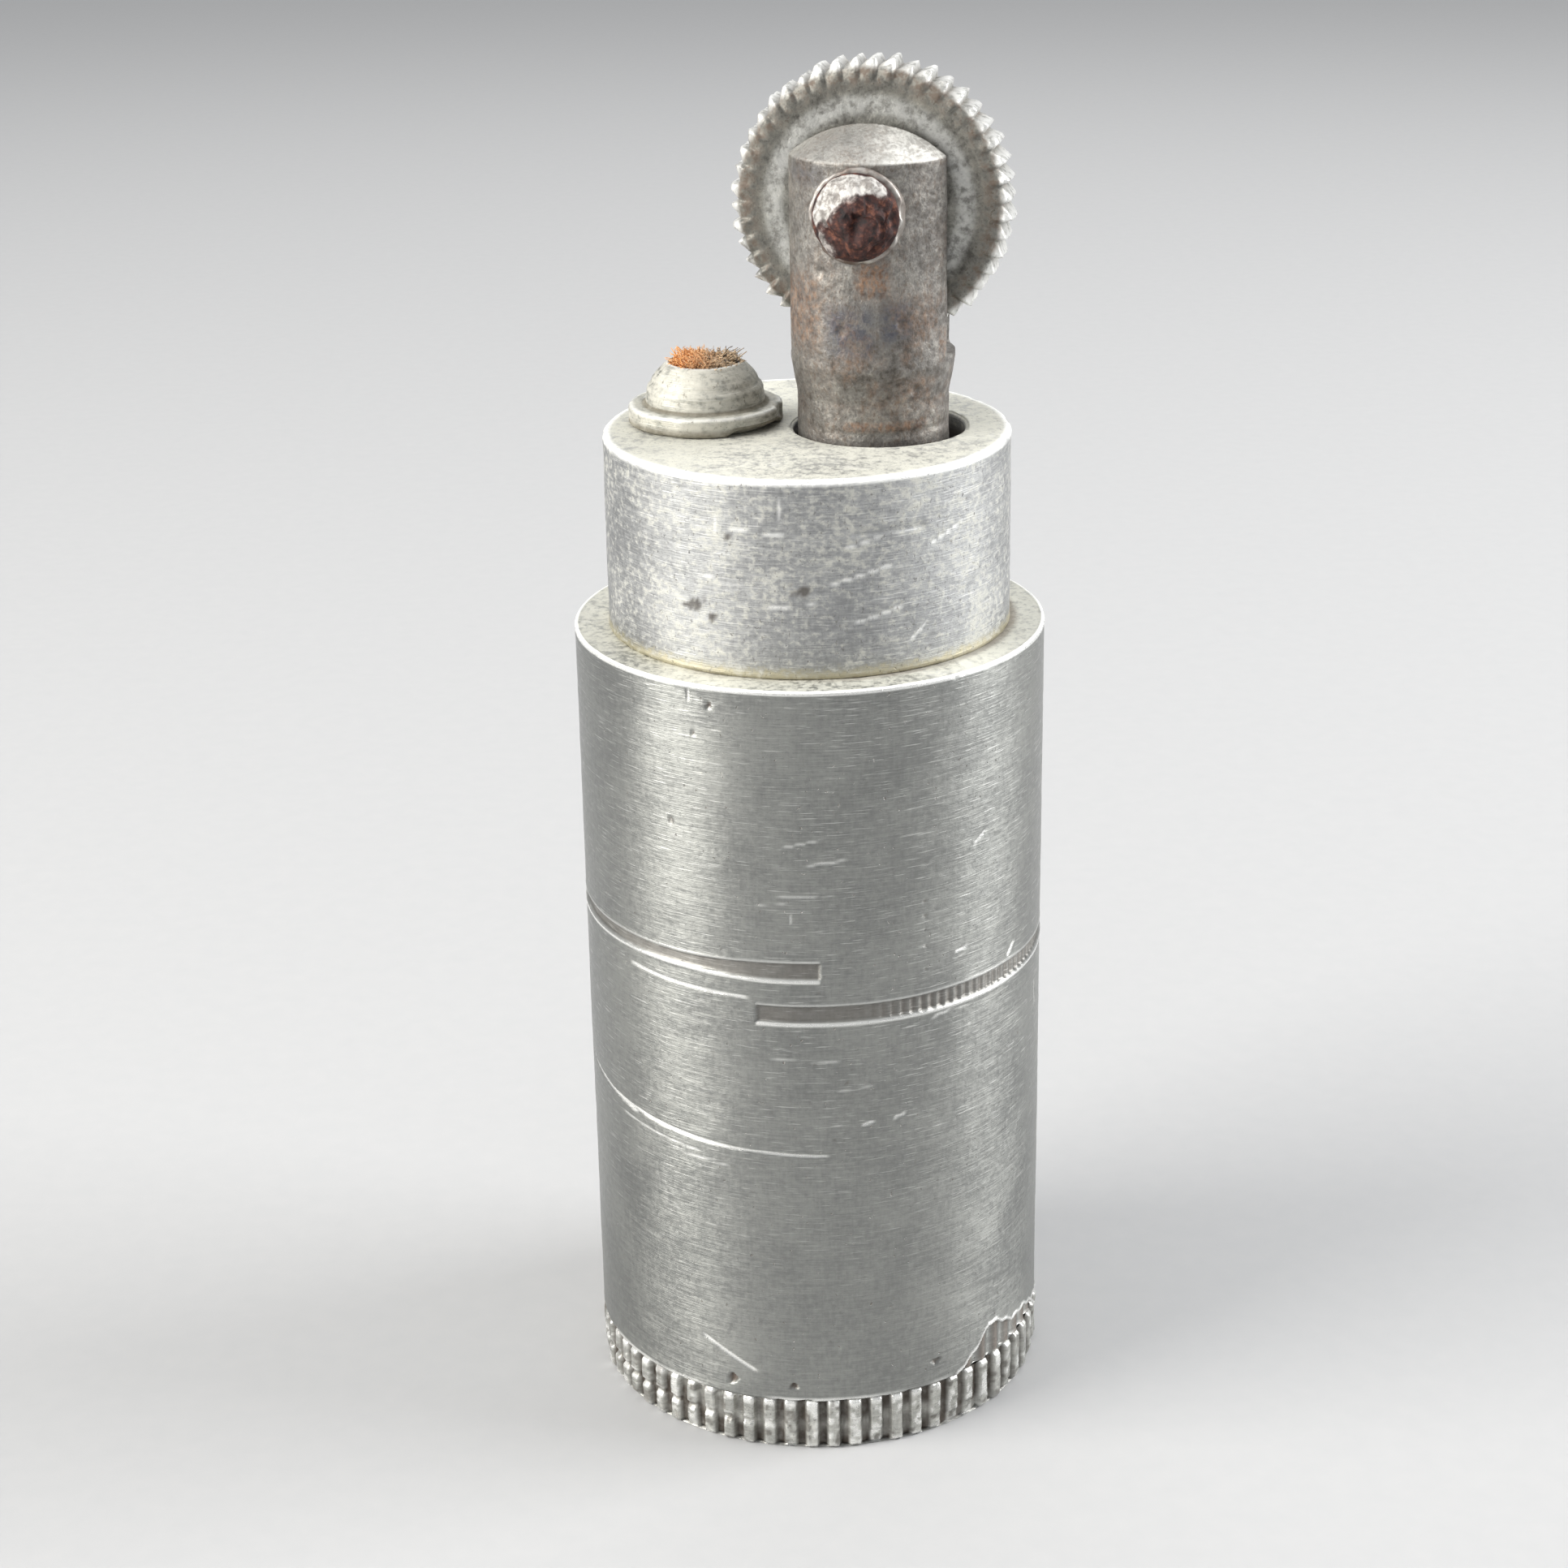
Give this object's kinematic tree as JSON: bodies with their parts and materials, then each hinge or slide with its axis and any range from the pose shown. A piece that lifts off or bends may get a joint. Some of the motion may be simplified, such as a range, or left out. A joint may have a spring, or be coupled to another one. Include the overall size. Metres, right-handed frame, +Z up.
{
  "type": "wick lighter with spark wheel",
  "caption": "Slim round wick-type petrol pocket lighter with a toothed spark wheel on a flint post, a domed wick ferrule and a knurled screw-off filler cap.",
  "frame": {"origin": "centre of the flat face under the filler cap, on which the lighter stands", "axes": "+Z up along the barrel, -Y towards the front where the axle's larger head is, +X to the right, the side of the flint post"},
  "size_m": [0.0192, 0.0192, 0.0556],
  "materials": {
    "sleeve_aluminium": "satin, turned, scratched",
    "head_aluminium": "satin with pale oxide",
    "cap_aluminium": "satin, knurled, dirt in the grooves",
    "ferrule_metal": "dull, oxidised",
    "post_metal": "dull, mottled, rust stained",
    "wheel_metal": "zinc grey, bright teeth",
    "rusty_steel": "rusted",
    "washer_metal": "dull",
    "brass": "satin",
    "spring_steel": "bright wire",
    "flint_alloy": "dull grey",
    "fibre": "oiled fibre",
    "wick_cotton": "frayed, charred",
    "wadding_cotton": "loose cotton",
    "felt": "pressed felt"
  },
  "bodies": {
    "cap": {"filler_cap": "cap_aluminium"},
    "gasket": {"cap_gasket": "fibre"},
    "barrel": {"outer_sleeve": "sleeve_aluminium", "head_block": "head_aluminium", "wick_ferrule": "ferrule_metal", "wick": "wick_cotton", "fuel_wadding": "wadding_cotton", "felt_pad": "felt", "flint_post": "post_metal", "post_seal": "fibre", "post_nut": "brass", "axle_rivet": "rusty_steel", "front_washer": "washer_metal", "rear_washer": "washer_metal", "front_spacer": "brass", "rear_spacer": "brass", "flint_tube": "brass"},
    "wheel": {"spark_wheel": "wheel_metal"},
    "flint_seat": {"screw_washer": "fibre", "flint_spring": "spring_steel"},
    "screw": {"flint_screw": "brass"},
    "flint_feed": {"flint_plunger": "brass", "flint": "flint_alloy"}
  },
  "joints": [
    {"name": "barrel_turn", "type": "hinge", "parent": "cap", "child": "gasket", "pos_m": [0, 0, 0.0023], "axis": [0, 0, 1], "range_deg": [0, 2160.5]},
    {"name": "barrel_lift", "type": "slide", "parent": "gasket", "child": "barrel", "axis": [0, 0, 1], "range_m": [0, 0.0045]},
    {"name": "wheel_spin", "type": "hinge", "parent": "barrel", "child": "wheel", "pos_m": [0.00265, 0.0001, 0.05005], "axis": [-0.2079, -0.9781, 0], "continuous": true},
    {"name": "screw_turn", "type": "hinge", "parent": "flint_seat", "child": "screw", "pos_m": [0.00265, 0.0001, 0.0058], "axis": [0, 0, -1], "range_deg": [0, 2880.5]},
    {"name": "screw_drop", "type": "slide", "parent": "barrel", "child": "flint_seat", "axis": [0, 0, -1], "range_m": [0, 0.0032]},
    {"name": "flint_press", "type": "slide", "parent": "flint_seat", "child": "flint_feed", "axis": [0, 0, -1], "range_m": [0, 0.0015], "stiffness_N_per_m": 250, "springref_m": -0.004, "deforming": ["flint_spring"]}
  ],
  "couplings": [
    {"joint": "barrel_turn", "follows": "barrel_lift", "rad_per_m": 8377.6},
    {"joint": "screw_turn", "follows": "screw_drop", "rad_per_m": 15708}
  ]
}
